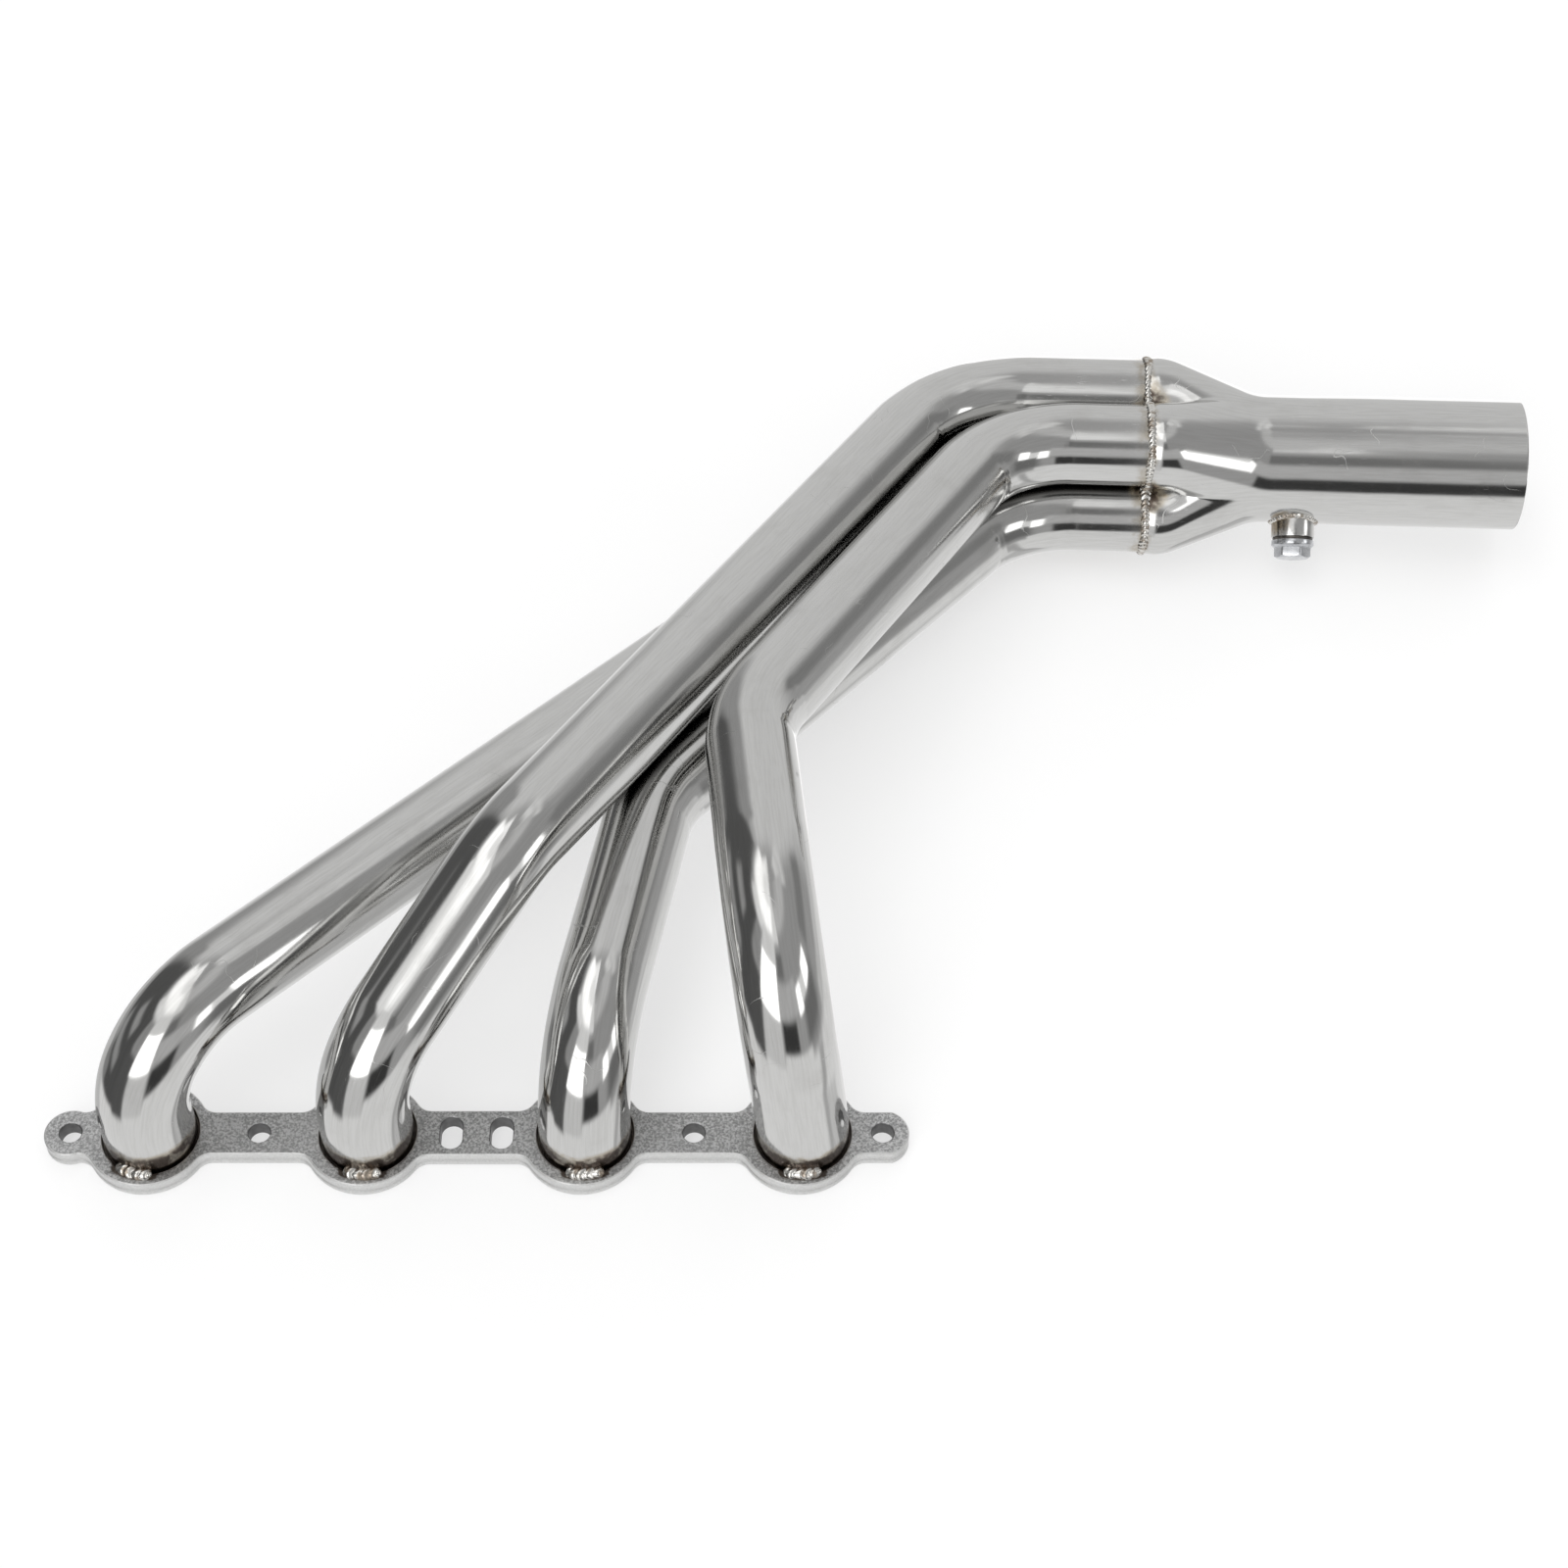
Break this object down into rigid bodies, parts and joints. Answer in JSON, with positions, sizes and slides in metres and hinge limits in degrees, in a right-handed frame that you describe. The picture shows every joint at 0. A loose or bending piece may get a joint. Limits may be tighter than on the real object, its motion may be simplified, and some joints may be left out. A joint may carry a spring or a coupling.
{
  "type": "exhaust manifold",
  "caption": "Long-tube exhaust manifold: polished bent tubes welded to a bolt-on head flange and gathered in a formed merge collector with a plugged sensor bung.",
  "frame": {"origin": "middle of the flange's port face, halfway between the two slotted bolt holes", "axes": "+X along the row of ports towards the collector, +Y across the row towards the collector, +Z out of the cylinder head, away from the port face"},
  "size_m": [0.8156, 0.5312, 0.1652],
  "materials": {
    "blasted_steel": "bead-blasted mild steel, matt grey",
    "polished_steel": "polished stainless steel",
    "weld_metal": "rippled weld bead, bright with straw and brown heat tint",
    "turned_steel": "fine turned stainless steel",
    "washer_metal": "dark crushed sealing washer",
    "bright_zinc": "bright zinc plate"
  },
  "bodies": {
    "header": {"head_flange": "blasted_steel", "primary_tube_1": "polished_steel", "primary_tube_2": "polished_steel", "primary_tube_3": "polished_steel", "primary_tube_4": "polished_steel", "port_weld_1": "weld_metal", "port_weld_2": "weld_metal", "port_weld_3": "weld_metal", "port_weld_4": "weld_metal", "flange_weld_1": "weld_metal", "flange_weld_2": "weld_metal", "flange_weld_3": "weld_metal", "flange_weld_4": "weld_metal", "merge_plug": "turned_steel", "collector_weld": "weld_metal", "merge_collector": "polished_steel", "bung_weld": "weld_metal", "sensor_bung": "turned_steel"},
    "washer": {"plug_washer": "washer_metal"},
    "plug": {"sensor_plug": "bright_zinc"}
  },
  "joints": [
    {"name": "plug_slide", "type": "slide", "parent": "header", "child": "washer", "axis": [-0.0296, -0.8085, -0.5878], "range_m": [0, 0.0111]},
    {"name": "plug_turn", "type": "hinge", "parent": "washer", "child": "plug", "pos_m": [0.46004, 0.40464, 0.02682], "axis": [-0.0296, -0.8085, -0.5878], "range_deg": [0, 2640]}
  ],
  "couplings": [
    {"joint": "plug_slide", "follows": "plug_turn", "m_per_rad": 0.00023873}
  ]
}
